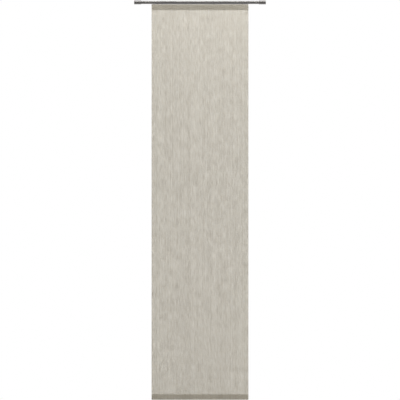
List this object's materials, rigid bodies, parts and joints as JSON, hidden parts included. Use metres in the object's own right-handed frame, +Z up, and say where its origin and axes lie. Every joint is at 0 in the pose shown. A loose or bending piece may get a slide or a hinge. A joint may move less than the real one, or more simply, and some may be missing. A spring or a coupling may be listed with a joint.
{
  "type": "sliding panel curtain",
  "caption": "Flat woven fabric panel on an aluminium carrier, weighted at its hem, that rolls sideways on wheeled runners inside a slotted round rod with grooved finials.",
  "frame": {"origin": "on the flat floor of the bracket groove along the rod's crown, at mid length and on the rod's centre line", "axes": "+X along the rod, to the right as the room sees it; +Y away from the room, towards the window; +Z up"},
  "size_m": [0.8166, 0.024, 2.4735],
  "materials": {
    "rod_metal": "brushed and clear anodised in a dark stainless steel shade",
    "carrier_metal": "natural satin anodised",
    "screw_steel": "zinc plated",
    "white_nylon": "moulded",
    "grey_plastic": "moulded, fine matte grain",
    "tape": "woven hook and loop tape",
    "cloth": "open plain weave with slub yarns, greige"
  },
  "bodies": {
    "rail": {"rod": "rod_metal", "finial_left": "rod_metal", "finial_right": "rod_metal", "finial_screw_left": "screw_steel", "finial_screw_right": "screw_steel", "end_stop_left": "white_nylon", "end_stop_right": "white_nylon", "stop_screw_left": "screw_steel", "stop_screw_right": "screw_steel"},
    "panel": {"runner_1": "white_nylon", "runner_2": "white_nylon", "runner_3": "white_nylon", "runner_4": "white_nylon", "carrier": "carrier_metal", "carrier_cap_left": "grey_plastic", "carrier_cap_right": "grey_plastic", "hook_tape": "tape", "loop_tape": "tape", "cloth_panel": "cloth", "weight_bar": "carrier_metal", "bar_cap_left": "grey_plastic", "bar_cap_right": "grey_plastic"},
    "wheelset_1": {"axle_1": "screw_steel", "wheel_1_back": "white_nylon", "wheel_1_front": "white_nylon"},
    "wheelset_2": {"axle_2": "screw_steel", "wheel_2_back": "white_nylon", "wheel_2_front": "white_nylon"},
    "wheelset_3": {"axle_3": "screw_steel", "wheel_3_back": "white_nylon", "wheel_3_front": "white_nylon"},
    "wheelset_4": {"axle_4": "screw_steel", "wheel_4_back": "white_nylon", "wheel_4_front": "white_nylon"}
  },
  "joints": [
    {"name": "panel_slide", "type": "slide", "parent": "rail", "child": "panel", "axis": [1, 0, 0], "range_m": [-0.064, 0.064]},
    {"name": "wheelset_1_spin", "type": "hinge", "parent": "panel", "child": "wheelset_1", "pos_m": [-0.2625, 0, -0.00944], "axis": [0, 1, 0], "range_deg": [-720, 720]},
    {"name": "wheelset_2_spin", "type": "hinge", "parent": "panel", "child": "wheelset_2", "pos_m": [-0.0875, 0, -0.00944], "axis": [0, 1, 0], "range_deg": [-720, 720]},
    {"name": "wheelset_3_spin", "type": "hinge", "parent": "panel", "child": "wheelset_3", "pos_m": [0.0875, 0, -0.00944], "axis": [0, 1, 0], "range_deg": [-720, 720]},
    {"name": "wheelset_4_spin", "type": "hinge", "parent": "panel", "child": "wheelset_4", "pos_m": [0.2625, 0, -0.00944], "axis": [0, 1, 0], "range_deg": [-720, 720]}
  ],
  "couplings": [
    {"joint": "wheelset_1_spin", "follows": "panel_slide", "rad_per_m": 196.02},
    {"joint": "wheelset_2_spin", "follows": "panel_slide", "rad_per_m": 196.02},
    {"joint": "wheelset_3_spin", "follows": "panel_slide", "rad_per_m": 196.02},
    {"joint": "wheelset_4_spin", "follows": "panel_slide", "rad_per_m": 196.02}
  ]
}
